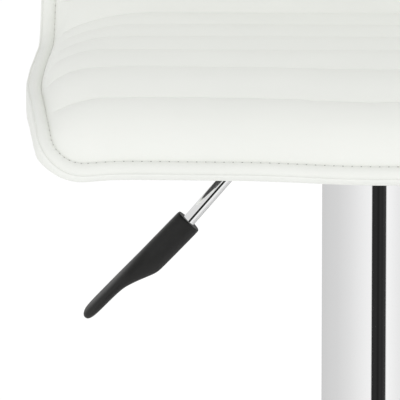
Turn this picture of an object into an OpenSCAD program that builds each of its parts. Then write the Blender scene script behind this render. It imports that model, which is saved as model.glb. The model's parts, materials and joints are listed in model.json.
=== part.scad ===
// Adjustable swivel stool with a padded one-piece seat and back, a gas lift and a
// chromed pedestal. Millimetres, +Z up, front of the seat towards -Y.
// The origin is on the floor, under the middle of the column. The lift is at its lowest.

/* [Seat] */
// Overall width of the seat and back
seat_width = 415; // [395:5:430]
// Height of the panel's level top face above the floor
panel_z = 594; // [590:1:600]
// Thickness of the bent plywood panel
panel_t = 10; // [8:1:12]
// Extra thickness added to the padding all over
pad_extra = 0; // [-4:1:4]
// Length of the back, from the rear bend to its top
back_length = 232; // [200:4:260]
// Width of the stitched border
border_w = 9.5; // [8:0.5:11]
// Distance between two seams across the padding
seam_pitch = 52; // [45:1:60]

/* [Column] */
// Outside diameter of the moving column sleeve
sleeve_d = 68; // [64:1:72]
// Outside diameter of the fixed tube under it
tube_d = 50; // [48:1:52]
// Travel of the gas lift
lift_travel = 210; // [180:5:210]
// Outside diameter of the gas cylinder
cylinder_d = 28; // [28:0.5:30]

/* [Base] */
// Diameter of the pedestal
base_d = 420; // [400:10:440]
// Height of the flared neck's top
neck_z = 114; // [106:1:116]

/* [Footrest] */
// Diameter of the footrest tube
bar_d = 22; // [19:1:25]
// Height of the footrest's middle with the lift down
footrest_z = 224; // [215:1:260]
// How far in front of the column's axis the front bar runs
footrest_reach = 216; // [204:2:220]

/* [Lever] */
// Diameter of the lever rod
rod_d = 7; // [6:0.5:8]
// Angle of the rod's lower half below the horizontal
rod_angle = 49.1; // [45:0.1:54]
// Angle of the paddle below the horizontal
paddle_angle = 46.2; // [42:0.1:50]

/* [Hidden] */
$fn = 72;

running = 0.05;         // radial clearance of a shaft that turns or slides in a bore
gap = 0.2;              // clearance between neighbouring soft layers

// Seat outline in plan
half_w = seat_width / 2;
front_y = -208;         // front of the seat on the centre line
corner_r = 40;          // plan radius of the front corners
corner = [half_w - 52.2, front_y + corner_r];
side_narrowing = 9;     // how much the seat narrows on each side by its front
top_corner_r = 46;      // radius of the back's top corners

// Side profile of the panel's upper face: [length, first heading, last heading]
bends = [
    [40, 60, 15],           // front lip
    [60, 15, 0],            // waterfall
    [209, 0, 0],            // seat pan
    [77, 0, 80],            // rear bend
    [back_length, 80, 72]   // back
];
pan_y = -110.8;         // where the level pan begins
cover_t = 2.5;          // padded vinyl on the rear and the underside
border_in = 3.5;        // how far the panel's edge stays inside the outline
border_top = 5;         // border's height above the panel
border_under = 3.5;     // border's depth under the panel

// Padding height over the panel, by distance along the profile
first_seam = 49;
seat_end = first_seam + 5 * seam_pitch;
pad_heights = [
    [10, 5.5], [16, 10], [24, 14], [34, 17.5], [49, 18.5], [97, 21.5], [149, 24], [200, 24.5],
    [300, 24.5], [370, 21], [560, 20], [585, 18.5], [598, 15], [606, 10.5], [609, 6]
];
seam_depth = 2.6;

// Layers under the seat
plate_z = panel_z - panel_t - cover_t - gap;   // top of the steel plate
plate_t = 2.5;
plate_x = 180;
plate_y = 150;
bolt_x = 70;
bolt_y = 55;
bolt_r = 3;
wall = 2.5;             // lever housing's wall
housing_z = 545;        // underside of the lever housing
housing_top = plate_z - plate_t;
housing_x = 116;
housing_y = 44;

// Gas lift
tube_top = 430;
tube_bottom = 20;
tube_wall = 1.5;
guide_len = 110;
cylinder_bottom = 70;
taper_z = 526;          // where the cylinder's top taper starts
cylinder_top = 564;
taper_tip_r = cylinder_d / 2 - 1.05;
rod_top = 334;
rod_r = 5;
journal_r = 4;          // rod's lower end, in the thrust bearing
pin_r = 4;
pin_top = cylinder_top + 6.2;

// Column sleeve
cap_z = 512;
sleeve_top = 540;
sleeve_wall = 1.5;
sleeve_bottom = neck_z + 9;
sleeve_bore = sleeve_d / 2 - sleeve_wall;

// Lever
pivot = [-34, 572.6];   // lever pin's axis, in X and Z
ear_y = 8;
lever_pin_r = 2.5;
elbow_x = -56.6;        // where the rod's two centre lines cross
elbow_r = 14;
grip = [-113, 507.5];   // where the rod enters the paddle's collar
rod_reach = 24;         // how far the rod goes into the paddle
tongue_z = pin_top + 0.4;
tongue_t = 4.4;

// Footrest
collar_r = sleeve_d / 2 + 5;
bar_r = bar_d / 2;
bar_wall = 1.5;
arm_spread = 31;        // angle of each arm from straight ahead
bend_r = 42;            // centre-line radius of the front bends
arm_root = [26, -22];   // where each arm's centre line meets the collar
bend_y = -footrest_reach + bend_r;
arm_len = (arm_root[1] - bend_y - bend_r * sin(arm_spread)) / cos(arm_spread);
bend_x = arm_root[0] + arm_len * sin(arm_spread) - bend_r * cos(arm_spread);

// Base
base_r = base_d / 2;
rim_r = 8;              // radius of the pedestal's rolled rim
skin = 2;
ring_t = 3.9;           // thickness of the rubber floor ring
ballast_t = 5;
hub_z = ring_t + ballast_t + 0.2;
hub_top = 75;
neck_r = sleeve_d / 2 + 3;
neck_foot_r = 108;
neck_skin = 1.6;
disc_bore_r = 84;

// ---- Curves -------------------------------------------------------------------------

// End of an arc of a given length that starts at p with heading a0 and ends with a1
function arc_end(p, len, a0, a1) =
    a0 == a1
    ? p + len * [cos(a0), sin(a0)]
    : let (r = len * 180 / (PI * (a1 - a0)))
      p + r * [sin(a1) - sin(a0), cos(a0) - cos(a1)];

function bend_end(i, p) = arc_end(p, bends[i][0], bends[i][1], bends[i][2]);

// Start of the profile, so that the pan comes out level at panel_z
lip_start = [pan_y, panel_z] - bend_end(1, bend_end(0, [0, 0]));

// Point [y, z, heading] at a distance s along the profile
function along(s, i = 0, p = lip_start) =
    let (b = bends[i], heading = b[1] + (b[2] - b[1]) * s / b[0])
    s <= b[0] || i == len(bends) - 1
    ? concat(arc_end(p, s, b[1], heading), [heading])
    : along(s - b[0], i + 1, bend_end(i, p));

seat_length = bends[0][0] + bends[1][0] + bends[2][0];
total_length = seat_length + bends[3][0] + back_length;

function offset_point(p, d) = [p[0] - d * sin(p[2]), p[1] + d * cos(p[2])];

function reverse(v) = [for (i = [len(v) - 1:-1:0]) v[i]];

// Points of a circular arc in the plane
function arc(c, r, a0, a1, n) =
    [for (k = [0:n]) c + r * [cos(a0 + (a1 - a0) * k / n), sin(a0 + (a1 - a0) * k / n)]];

// ---- Seat shell ---------------------------------------------------------------------

stations = concat(
    [for (s = [0:5:100]) s],
    [for (s = [0:7:77]) seat_length + s],
    [for (s = [108:31:297]) seat_length + s]);

// Share of the full thickness below the panel's upper face: the front lip is thin
function thin(s) = s < 30 ? 0.2 + 0.8 * s / 30 : 1;

function below(s, d) = offset_point(along(s), d < 0 ? d * thin(s) : d);

// A layer of the bent shell between two heights over the panel's upper face
module shell_layer(low, high, inset) {
    line = concat([inset], [for (t = stations) if (t > inset + 1) t], [total_length - inset]);
    rotate([90, 0, 90])
        linear_extrude(height = seat_width + 20, center = true)
            polygon(concat(
                [for (s = line) below(s, low)],
                reverse([for (s = line) below(s, high)])));
}

// Half width of the seat at y, inset by d
function side_x(y, d) = half_w - d - side_narrowing * pow(max(0, -y) / 151, 2);

function corner_half(y, d) =
    corner[0] + sqrt(max(0, pow(corner_r - d, 2) - pow(corner[1] - y, 2)));

function plan_half(y, d) =
    y < corner[1] ? min(corner_half(y, d), side_x(y, d)) : side_x(y, d);

// Outline of the seat in plan, inset by d
module plan_prism(d) {
    right = concat(
        arc(corner, corner_r - d, -90, -9, 9),
        [for (y = [-150, -125, -100, -75, -50, -25, 0, 300]) [side_x(y, d), y]]);
    translate([0, 0, 400])
        linear_extrude(height = 600)
            polygon(concat(right, reverse([for (p = right) [-p[0], p[1]]])));
}

back_top = along(total_length)[1];

// Outline of the back from the front, with rounded top corners, inset by d
module front_prism(d) {
    c = [half_w - top_corner_r, back_top - top_corner_r];
    right = concat([[half_w - d, 300]], arc(c, top_corner_r - d, 0, 88, 11), [[c[0] - 2, 920]]);
    translate([0, 400, 0])
        rotate([90, 0, 0])
            linear_extrude(height = 800)
                polygon(concat(right, reverse([for (p = right) [-p[0], p[1]]])));
}

// A layer cut to the outline, inset by d
module cut_layer(low, high, d) {
    intersection() {
        shell_layer(low, high, d);
        plan_prism(d);
        front_prism(d);
    }
}

module at_bolts() {
    for (x = [-bolt_x, bolt_x], y = [-bolt_y, bolt_y])
        translate([x, y, 0]) children();
}

module seat_panel() {
    color("burlywood")
        difference() {
            cut_layer(-panel_t, 0, border_in);
            at_bolts() translate([0, 0, panel_z - 20]) cylinder(r = 4.6, h = 30);
            at_bolts() translate([0, 0, panel_z - 1.5]) cylinder(r = 9.5, h = 5);
        }
}

module rear_cover() {
    color("whitesmoke")
        difference() {
            cut_layer(-panel_t - gap - cover_t, -panel_t - gap, border_w);
            at_bolts() translate([0, 0, plate_z - 5]) cylinder(r = bolt_r + 0.6, h = 12);
        }
}

module edge_border() {
    color("white")
        difference() {
            cut_layer(-panel_t - border_under, border_top, 0);
            cut_layer(-panel_t - 30, 40, border_w - gap);
            cut_layer(-panel_t - gap, gap, border_in - gap);
        }
}

// ---- Padding ------------------------------------------------------------------------

// Half width of the padding at a distance s along the profile and a height h over the panel
function pad_half(s, h) =
    let (
        d = border_w + 2.5 * gap,
        p = offset_point(along(s), h),
        r = top_corner_r - d,
        up = p[1] - (back_top - top_corner_r) + 4 * gap,
        lost = up <= 0 ? 0 : r - sqrt(max(0, r * r - up * up))
    )
    (p[0] < 0 ? plan_half(p[0], d) : half_w - d) - lost;

// Height of the padding over the panel at a distance s and a share u of the half width
function pad_height(s, u) =
    let (
        away = abs(s - first_seam - seam_pitch * round((s - first_seam) / seam_pitch)),
        dip = s < 30 || s > 590 ? 0 : seam_depth * max(0, 1 - away / 8),
        middle = lookup(s, pad_heights) + pad_extra - dip,
        across = pow(max(0, 1 - pow(abs(u), 3.4)), 0.6)
    )
    5 + (middle - 5) * across;

function pad_point(s, u, h) =
    let (p = along(s), w = pad_half(s, min(h, 6)))
    [u * w, p[0] - h * sin(p[2]), p[1] + h * cos(p[2])];

// Rows of the padding: close together at the ends and at each seam
front_rows = [11, 13.5, 17, 21, 26, 32, 40];
seam_rows = [for (k = [0:10], t = [-8, 0, 8, 26])
    let (s = first_seam + k * seam_pitch + t) if (s > 41 && s < 575) s];
top_rows = [581, 588, 594, 599, 602.5, 604.6, 606.5];
columns = [-1, -0.985, -0.95, -0.89, -0.8, -0.68, -0.5, -0.25, 0,
    0.25, 0.5, 0.68, 0.8, 0.89, 0.95, 0.985, 1];

// A closed sheet of padding over the given rows
module padding(rows) {
    n = len(columns);
    m = len(rows) * n;
    last = (len(rows) - 1) * n;
    low = [for (s = rows, u = columns) pad_point(s, u, gap)];
    high = [for (s = rows, u = columns) pad_point(s, u, pad_height(s, u))];
    faces = concat(
        [for (i = [0:len(rows) - 2], j = [0:n - 2])
            let (a = i * n + j) each [[a, a + 1, a + n + 1], [a, a + n + 1, a + n]]],
        [for (i = [0:len(rows) - 2], j = [0:n - 2])
            let (a = m + i * n + j) each [[a, a + n + 1, a + 1], [a, a + n, a + n + 1]]],
        [for (a = [0:n - 2]) each [[a, m + a, m + a + 1], [a, m + a + 1, a + 1]]],
        [for (a = [last:last + n - 2]) each [[a, m + a + 1, m + a], [a, a + 1, m + a + 1]]],
        [for (i = [0:len(rows) - 2])
            let (a = i * n) each [[a, a + n, m + a + n], [a, m + a + n, m + a]]],
        [for (i = [0:len(rows) - 2])
            let (a = i * n + n - 1) each [[a, m + a + n, a + n], [a, m + a, m + a + n]]]);
    polyhedron(points = concat(low, high), faces = faces, convexity = 6);
}

module seat_padding() {
    rows = concat(front_rows, [for (s = seam_rows) if (s < seat_end - 1) s], [seat_end - 0.1]);
    color("white") padding(rows);
}

module back_padding() {
    rows = concat([seat_end + 0.1], [for (s = seam_rows) if (s > seat_end + 1) s], top_rows);
    color("white") padding(rows);
}

// ---- Seat plate and fasteners -------------------------------------------------------

module rounded_rectangle(x, y, r) {
    square([x - 2 * r, y], center = true);
    square([x, y - 2 * r], center = true);
    for (i = [-1, 1], j = [-1, 1])
        translate([i * (x / 2 - r), j * (y / 2 - r)]) circle(r = r);
}

module seat_plate() {
    color("dimgray")
        translate([0, 0, plate_z - plate_t])
            difference() {
                linear_extrude(height = plate_t) rounded_rectangle(plate_x, plate_y, 12);
                at_bolts() translate([0, 0, -1]) cylinder(r = bolt_r + 0.4, h = plate_t + 2);
                translate([0, 0, -1]) cylinder(r = 14, h = plate_t + 2);
            }
}

module lever_housing() {
    color("dimgray") {
        difference() {
            translate([-housing_x / 2, -housing_y / 2, housing_z])
                cube([housing_x, housing_y, housing_top - housing_z]);
            translate([-housing_x / 2 - 1, -housing_y / 2 + wall, housing_z + wall])
                cube([housing_x + 2, housing_y - 2 * wall, housing_top]);
            translate([0, 0, housing_z - 1]) cylinder(r = 17.9, h = wall + 2);
        }
        for (y = [-ear_y, ear_y])
            translate([pivot[0], y, 0])
                difference() {
                    union() {
                        translate([-6, -1, housing_z + wall - 0.5])
                            cube([12, 2, pivot[1] - housing_z - wall + 0.5]);
                        translate([0, 1, pivot[1]]) rotate([90, 0, 0]) cylinder(r = 6, h = 2);
                    }
                    translate([0, 2, pivot[1]]) rotate([90, 0, 0])
                        cylinder(r = lever_pin_r + running, h = 4);
                }
    }
}

module taper_socket() {
    color("dimgray")
        difference() {
            translate([0, 0, taper_z + 6]) cylinder(r = 17.8, h = cylinder_top - taper_z - 9);
            taper(running);
        }
}

module lever_pin() {
    color("silver")
        translate([pivot[0], 11, pivot[1]]) rotate([90, 0, 0]) cylinder(r = lever_pin_r, h = 22);
}

module pin_clips() {
    color("silver")
        for (y = [-9.4, 10.4])
            translate([pivot[0], y, pivot[1]]) rotate([90, 0, 0])
                difference() {
                    cylinder(r = 4.4, h = 1);
                    translate([0, 0, -1]) cylinder(r = lever_pin_r + running, h = 3);
                }
}

module plate_bolts() {
    color("silver")
        at_bolts()
            translate([0, 0, plate_z - plate_t - 1.6]) {
                translate([0, 0, -5]) cylinder(r = 5.7, h = 5, $fn = 6);
                translate([0, 0, -1]) cylinder(r = bolt_r - 0.1, h = 17);
            }
}

module bolt_washers() {
    color("silver")
        at_bolts()
            translate([0, 0, plate_z - plate_t - 1.5])
                difference() {
                    cylinder(r = 8, h = 1.4);
                    translate([0, 0, -1]) cylinder(r = bolt_r + 0.3, h = 4);
                }
}

module tee_nuts() {
    color("silver")
        at_bolts()
            difference() {
                union() {
                    translate([0, 0, panel_z - 1.4]) cylinder(r = 9.3, h = 1.3);
                    translate([0, 0, panel_z - 9]) cylinder(r = 4.4, h = 8);
                }
                translate([0, 0, panel_z - 12]) cylinder(r = bolt_r, h = 14);
            }
}

// ---- Gas lift -----------------------------------------------------------------------

module tube(r, bore, z0, z1) {
    translate([0, 0, z0])
        difference() {
            cylinder(r = r, h = z1 - z0);
            translate([0, 0, -1]) cylinder(r = bore, h = z1 - z0 + 2);
        }
}

module taper(extra = 0) {
    translate([0, 0, taper_z])
        cylinder(r1 = cylinder_d / 2 + extra, r2 = taper_tip_r + extra, h = cylinder_top - taper_z);
}

module gas_cylinder() {
    color("black")
        difference() {
            union() {
                translate([0, 0, cylinder_bottom])
                    cylinder(r = cylinder_d / 2, h = taper_z - cylinder_bottom);
                taper();
            }
            translate([0, 0, cylinder_bottom - 1])
                cylinder(r = cylinder_d / 2 - 1.5, h = 541 - cylinder_bottom);
            translate([0, 0, 530]) cylinder(r = pin_r + running, h = 60);
            // Groove for the snap ring
            tube(cylinder_d / 2 + 1, cylinder_d / 2 - 0.8, cap_z - 3, cap_z - 1.4);
        }
}

module snap_ring() {
    color("silver")
        translate([0, 0, cap_z - 2.9])
            difference() {
                cylinder(r = cylinder_d / 2 + 2.2, h = 1.4);
                translate([0, 0, -1]) cylinder(r = cylinder_d / 2 - 0.7, h = 4);
                translate([0, -3, -1]) cube([30, 6, 4]);
            }
}

module rod_gland() {
    color("gold")
        tube(cylinder_d / 2 - 1.55, rod_r + running, cylinder_bottom + 1, cylinder_bottom + 17);
}

module valve_block() {
    color("gold")
        difference() {
            translate([0, 0, 500]) cylinder(r = cylinder_d / 2 - 1.55, h = 39.5);
            translate([0, 0, 505]) cylinder(r = pin_r + running, h = 40);
        }
}

module valve_pin() {
    color("silver")
        intersection() {
            translate([0, 0, 512]) cylinder(r = pin_r, h = pin_top - 512);
            union() {
                translate([0, 0, pin_top - 9]) sphere(r = 9);
                translate([0, 0, 500]) cylinder(r = 9, h = pin_top - 509);
            }
        }
}

module standing_tube() {
    color("silver") {
        tube(tube_d / 2, tube_d / 2 - tube_wall, tube_bottom, tube_top);
        tube(tube_d / 2 - 1, journal_r + 0.6, 30, 34);
    }
}

module tube_guide() {
    bore = cylinder_d / 2 + running;
    color("black") {
        tube(tube_d / 2 - tube_wall - running, bore, tube_top - guide_len, tube_top + 1);
        tube(tube_d / 2 - 0.5, bore, tube_top, tube_top + 3);
    }
}

module piston_rod() {
    color("silver") {
        translate([0, 0, 22]) cylinder(r = journal_r, h = 26);
        translate([0, 0, 44.2]) cylinder(r = 8, h = 5);
        translate([0, 0, 48]) cylinder(r = rod_r, h = rod_top - 48);
    }
}

module piston() {
    color("gold")
        difference() {
            tube(cylinder_d / 2 - 1.9, rod_r + running, rod_top - 16, rod_top - 2);
            translate([0, 0, rod_top - 9])
                rotate_extrude() translate([cylinder_d / 2 - 2.6, 0]) circle(r = 1.1, $fn = 24);
        }
}

module piston_seal() {
    color("black")
        translate([0, 0, rod_top - 9])
            rotate_extrude() translate([cylinder_d / 2 - 2.65, 0]) circle(r = 1, $fn = 24);
}

module thrust_washers() {
    color("silver")
        for (z = [34.1, 42.1])
            tube(14, journal_r + 0.6, z, z + 2);
}

module thrust_balls() {
    color("silver")
        for (a = [0:36:324])
            rotate([0, 0, a]) translate([9.5, 0, 39.1]) sphere(r = 2.9);
}

module rod_clip() {
    color("silver") tube(8, journal_r + running, 27.5, 29);
}

// ---- Column sleeve ------------------------------------------------------------------

// Three radial places round the sleeve at the height of its cap
module at_rivets() {
    for (a = [30, 90, 150])
        rotate([0, 0, a]) translate([sleeve_d / 2, 0, cap_z + 6]) rotate([0, 90, 0]) children();
}

module column_sleeve() {
    color("gainsboro")
        difference() {
            tube(sleeve_d / 2, sleeve_bore, sleeve_bottom, sleeve_top);
            at_rivets() cylinder(r = 1.7, h = 20, center = true);
        }
}

module sleeve_rivets() {
    color("gainsboro")
        at_rivets() {
            translate([0, 0, -6]) cylinder(r = 1.6, h = 6.5);
            translate([0, 0, 0.3]) cylinder(r1 = 3, r2 = 2, h = 0.9);
        }
}

module sleeve_cap() {
    color("black")
        difference() {
            tube(sleeve_bore - running, cylinder_d / 2 + running, cap_z - 1, cap_z + 12);
            at_rivets() translate([0, 0, -7]) cylinder(r = 1.7, h = 20);
        }
}

module sleeve_guide() {
    bore = tube_d / 2 + running;
    color("black") {
        tube(sleeve_bore - running, bore, sleeve_bottom - 1, sleeve_bottom + 32);
        tube(sleeve_d / 2, bore, sleeve_bottom - 4, sleeve_bottom);
    }
}

// ---- Footrest -----------------------------------------------------------------------

// The loop's centre line with a round section of radius r
module footrest_path(r, extra = 0) {
    for (s = [0, 1])
        mirror([s, 0, 0]) {
            translate(arm_root) rotate([0, 0, 180 + arm_spread]) rotate([-90, 0, 0])
                translate([0, 0, -extra]) cylinder(r = r, h = arm_len + extra);
            translate([bend_x, bend_y, 0]) rotate([0, 0, -90])
                rotate_extrude(angle = 90 + arm_spread) translate([bend_r, 0]) circle(r = r);
        }
    translate([-bend_x, -footrest_reach, 0]) rotate([0, 90, 0]) cylinder(r = r, h = 2 * bend_x);
}

module footrest_bar() {
    color("gainsboro")
        translate([0, 0, footrest_z])
            difference() {
                footrest_path(bar_r);
                footrest_path(bar_r - bar_wall, 30);
                cylinder(r = collar_r + running, h = 100, center = true);
            }
}

module footrest_collar() {
    color("gainsboro")
        translate([0, 0, footrest_z])
            difference() {
                union() {
                    cylinder(r = collar_r, h = 40, center = true);
                    // Clamp ears at the back, closed by two screws
                    translate([-9, collar_r - 4, -16]) cube([18, 16, 32]);
                }
                cylinder(r = sleeve_d / 2 + 0.04, h = 60, center = true);
                translate([-1.5, 0, -30]) cube([3, 80, 60]);
                for (z = [-9, 9])
                    translate([-20, collar_r + 6, z]) rotate([0, 90, 0]) cylinder(r = 2.6, h = 40);
            }
}

module footrest_screws() {
    color("silver")
        for (z = [-9, 9])
            translate([0, collar_r + 6, footrest_z + z]) rotate([0, 90, 0]) {
                translate([0, 0, -9.5]) cylinder(r = 2.5, h = 22);
                difference() {
                    translate([0, 0, -13.1]) cylinder(r = 4.3, h = 4);
                    translate([0, 0, -14]) cylinder(r = 2.2, h = 3, $fn = 6);
                }
                difference() {
                    translate([0, 0, 9.2]) cylinder(r = 4.6, h = 3.2, $fn = 6);
                    translate([0, 0, 9]) cylinder(r = 2.55, h = 5);
                }
            }
}

// ---- Base ---------------------------------------------------------------------------

function dome_at(r) = 30 - 14.5 * pow(r / base_r, 2);

// Upper line of the pedestal's dome, from the rim inwards, sunk by d
function dome_line(d) = concat(
    [[base_r - d, ring_t]],
    arc([base_r - rim_r, rim_r], rim_r - d, 0, 78, 8),
    [for (r = [base_r - 26, 166, 146, 126, 104, disc_bore_r]) [r, dome_at(r) - d]]);

// Quarter ellipse that turns the dome into the neck, sunk by d
function neck_line(d) =
    let (foot_z = dome_at(neck_foot_r) + neck_skin + 0.5)
    [for (a = [0:7.5:90])
        [neck_r - d + (neck_foot_r - neck_r + d) * (1 - sin(a)),
         foot_z - d + (neck_z - foot_z + d) * (1 - cos(a))]];

module floor_ring() {
    color("black")
        rotate_extrude($fn = 120)
            polygon([[base_r - 22, 0], [base_r - 4, 0], [base_r - 3, 1], [base_r - 3, ring_t],
                [base_r - 22, ring_t]]);
}

module ballast_plate() {
    color("gray") tube(base_r - skin - 0.3, 26, ring_t + 0.1, ring_t + 0.1 + ballast_t, $fn = 120);
}

module base_hub() {
    color("gray")
        difference() {
            union() {
                translate([0, 0, hub_z]) cylinder(r = 31, h = hub_top - hub_z);
                translate([0, 0, hub_z]) cylinder(r = 48, h = 5);
                for (a = [0:90:270])
                    rotate([0, 0, a]) translate([28, -2, hub_z]) cube([42, 4, 10]);
            }
            translate([0, 0, 5]) cylinder(r = tube_d / 2 + 0.04, h = 80);
        }
}

module base_disc() {
    color("gainsboro")
        rotate_extrude($fn = 180) polygon(concat(dome_line(0), reverse(dome_line(skin))));
}

module neck_cover() {
    color("gainsboro")
        rotate_extrude($fn = 120) polygon(concat(neck_line(0), reverse(neck_line(neck_skin))));
}

module neck_seal() {
    bore = tube_d / 2 + 0.3;
    color("black") {
        tube(neck_r - neck_skin - 0.1, bore, neck_z - 14, neck_z + 1);
        tube(neck_r, bore, neck_z, neck_z + 2);
    }
}

// ---- Lever --------------------------------------------------------------------------

module lever_tongue() {
    color("silver")
        difference() {
            union() {
                translate([pivot[0], 5, pivot[1]]) rotate([90, 0, 0]) cylinder(r = 5.5, h = 10);
                translate([pivot[0], -5, tongue_z]) cube([8 - pivot[0], 10, tongue_t]);
            }
            translate([pivot[0], 10, pivot[1]]) rotate([90, 0, 0])
                cylinder(r = lever_pin_r + running, h = 20);
        }
}

module lever_rod() {
    tangent = elbow_r * tan(rod_angle / 2);
    drop = (pivot[1] - grip[1]) / sin(rod_angle) - tangent + rod_reach;
    bend = [elbow_x + tangent, 0, pivot[1] - elbow_r];
    color("gainsboro") {
        translate([bend[0], 0, pivot[1]]) rotate([0, 90, 0])
            cylinder(r = rod_d / 2, h = pivot[0] - 5.6 - bend[0]);
        translate(bend) rotate([90, 0, 0]) rotate([0, 0, 90])
            rotate_extrude(angle = rod_angle) translate([elbow_r, 0]) circle(r = rod_d / 2);
        translate(bend) rotate([0, -rod_angle, 0]) translate([-0.01, 0, elbow_r])
            rotate([0, -90, 0]) cylinder(r = rod_d / 2, h = drop);
    }
}

// Side outline of the paddle: along its axis, and up across it
paddle_side = [
    [28, -7.7], [31, -7.7], [34, -7.3], [38, -5.9], [48.5, -1.2], [51, -0.3], [54, 0.2],
    [76, 0.6], [79.5, 1.4], [81.2, 3.2], [81.3, 5], [80.2, 6.8], [77.5, 7.6], [28, 7.6]
];
// Half widths of the paddle along its axis
paddle_plan = [
    [28, 7.9], [34, 8.8], [42, 11], [52, 13], [62, 13.6], [70, 13], [76, 11.2], [79.6, 8],
    [81.4, 3]
];

module lever_handle() {
    color("black")
        difference() {
            translate([grip[0], 0, grip[1]]) rotate([0, -paddle_angle, 0]) rotate([0, 0, 180]) {
                intersection() {
                    rotate([90, 0, 0]) linear_extrude(height = 40, center = true)
                        polygon(paddle_side);
                    translate([0, 0, -20]) linear_extrude(height = 40)
                        polygon(concat(paddle_plan,
                            reverse([for (p = paddle_plan) [p[0], -p[1]]])));
                }
                rotate([0, 90, 0]) cylinder(r = 7.7, h = 33);
                translate([33, 0, 0]) rotate([0, 90, 0]) cylinder(r1 = 7.7, r2 = 4, h = 8);
            }
            translate([grip[0], 0, grip[1]]) rotate([0, -rod_angle, 0]) rotate([0, -90, 0])
                translate([0, 0, -10]) cylinder(r = rod_d / 2 + running, h = rod_reach + 12);
        }
}

floor_ring();
ballast_plate();
base_hub();
base_disc();
neck_cover();
neck_seal();
standing_tube();
tube_guide();
piston_rod();
piston();
piston_seal();
thrust_washers();
thrust_balls();
rod_clip();
column_sleeve();
sleeve_cap();
sleeve_rivets();
sleeve_guide();
footrest_collar();
footrest_bar();
footrest_screws();
gas_cylinder();
rod_gland();
valve_block();
snap_ring();
taper_socket();
seat_plate();
lever_housing();
lever_pin();
pin_clips();
plate_bolts();
bolt_washers();
tee_nuts();
seat_panel();
seat_padding();
back_padding();
rear_cover();
edge_border();
lever_tongue();
lever_rod();
lever_handle();
valve_pin();
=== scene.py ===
"""Adjustable swivel stool: a white padded seat and back, chromed gas-lift column and a black lever."""

import json
import math

import bmesh
import bpy
import numpy as np
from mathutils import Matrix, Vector


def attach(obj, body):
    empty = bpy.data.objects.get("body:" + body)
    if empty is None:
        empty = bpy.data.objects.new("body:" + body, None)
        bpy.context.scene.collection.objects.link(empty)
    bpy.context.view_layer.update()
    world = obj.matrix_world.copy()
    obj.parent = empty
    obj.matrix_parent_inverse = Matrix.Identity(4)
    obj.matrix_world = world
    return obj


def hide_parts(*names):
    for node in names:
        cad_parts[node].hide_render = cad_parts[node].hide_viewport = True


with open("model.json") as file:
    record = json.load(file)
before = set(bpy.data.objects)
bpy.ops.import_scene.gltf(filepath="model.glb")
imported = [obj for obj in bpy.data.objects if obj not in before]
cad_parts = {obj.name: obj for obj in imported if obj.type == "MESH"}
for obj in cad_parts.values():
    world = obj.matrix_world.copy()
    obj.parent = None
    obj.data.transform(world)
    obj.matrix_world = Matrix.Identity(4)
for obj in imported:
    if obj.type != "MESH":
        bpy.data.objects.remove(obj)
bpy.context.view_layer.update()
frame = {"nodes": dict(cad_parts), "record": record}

bl_info = {
    "name": "Swivel stool",
    "version": (1, 0, 0),
    "blender": (4, 5, 0),
    "location": "View3D > Sidebar > Stool",
    "description": "Builds the upholstery, lever, chrome and studio of an adjustable swivel stool",
    "category": "Add Mesh",
}

MM = 0.001

# Side profile of the seat panel's upper face: length in mm, first and last heading in degrees
BENDS = ((40, 60, 15), (60, 15, 0), (209, 0, 0), (77, 0, 80), (232, 80, 72))
PAN_START = (-110.8, 594.0)  # y and z where the level pan begins
PAN_AT = 100.0  # distance along the profile where it begins
SHELL_END = 618.0  # whole length of the profile
SEAT_END = 309.0  # where the rear bend begins

# Outline of the upholstery on the unrolled shell, in mm
FRONT_CORNER = 31.5
FRONT_CORNER_X = 162.2
TOP_CORNER = 46.0
SIDE_AT = (30, 40, 60, 84, 104, 132, 156, 211, 317, 386, 700)
SIDE_HALF = (193.6, 195.4, 197.9, 200.5, 202.3, 204.2, 205.4, 206.8, 207.6, 208.3, 208.3)

# Height of the cover over the panel at the seams, by distance along the profile
BASE_AT = (8.6, 9.8, 14, 20, 28, 38, 49, 97, 149, 201, 253, 305, 345, 386, 560, 580, 595, 604, 609.4)
BASE_HEIGHT = (2.2, 4.3, 7.4, 10.6, 13.6, 15.9, 17.0, 20.3, 23.3, 23.8, 24.2, 24.6, 23.5, 21, 19.5,
               18, 14.5, 9.5, 2.2)
FIRST_SEAM = 49.0

# Width over which the cover rises from its edge, as a share of the roll, by distance along the profile
RISE_AT = (49, 101, 205, 309, 386, 618)
RISE_WIDTH = (0.40, 0.44, 0.76, 1, 0.9, 0.75)

# How the cover, the border and the stitches meet, in mm
COVER_UNDER_BORDER = 0.6  # how far the cover's edge runs in under the border
STITCH_FROM_EDGE = 0.25  # from the border's inner edge to the line of stitches
STITCH_HEIGHT = 3.15  # over the panel
# Size of the grey capsules painted as the shade inside each needle hole
NEEDLE_HOLE_LENGTH = 1.0
NEEDLE_HOLE_RADIUS = 0.36


# ---- Shape of the shell --------------------------------------------------------------

def _profile():
    """Distance, y, z and heading along the panel's upper face, 40 mm past both ends."""
    step = 0.5
    s = np.arange(-40.0, SHELL_END + 40.0 + step, step)
    ends = np.cumsum([0.0] + [b[0] for b in BENDS])
    heading = np.full_like(s, float(BENDS[0][1]))
    for (length, first, last), start in zip(BENDS, ends):
        share = np.clip((s - start) / length, 0, 1)
        heading = np.where(s >= start, first + (last - first) * share, heading)
    turn = np.radians((heading[1:] + heading[:-1]) / 2)
    y = np.concatenate([[0], np.cumsum(np.cos(turn) * step)])
    z = np.concatenate([[0], np.cumsum(np.sin(turn) * step)])
    y += PAN_START[0] - np.interp(PAN_AT, s, y)
    z += PAN_START[1] - np.interp(PAN_AT, s, z)
    return s, y, z, np.radians(heading)


PROFILE = _profile()


def smooth(edge0, edge1, value):
    """0 before edge0, 1 after edge1 and an S curve between them."""
    t = np.clip((np.asarray(value, float) - edge0) / (edge1 - edge0), 0, 1)
    return t * t * (3 - 2 * t)


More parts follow.
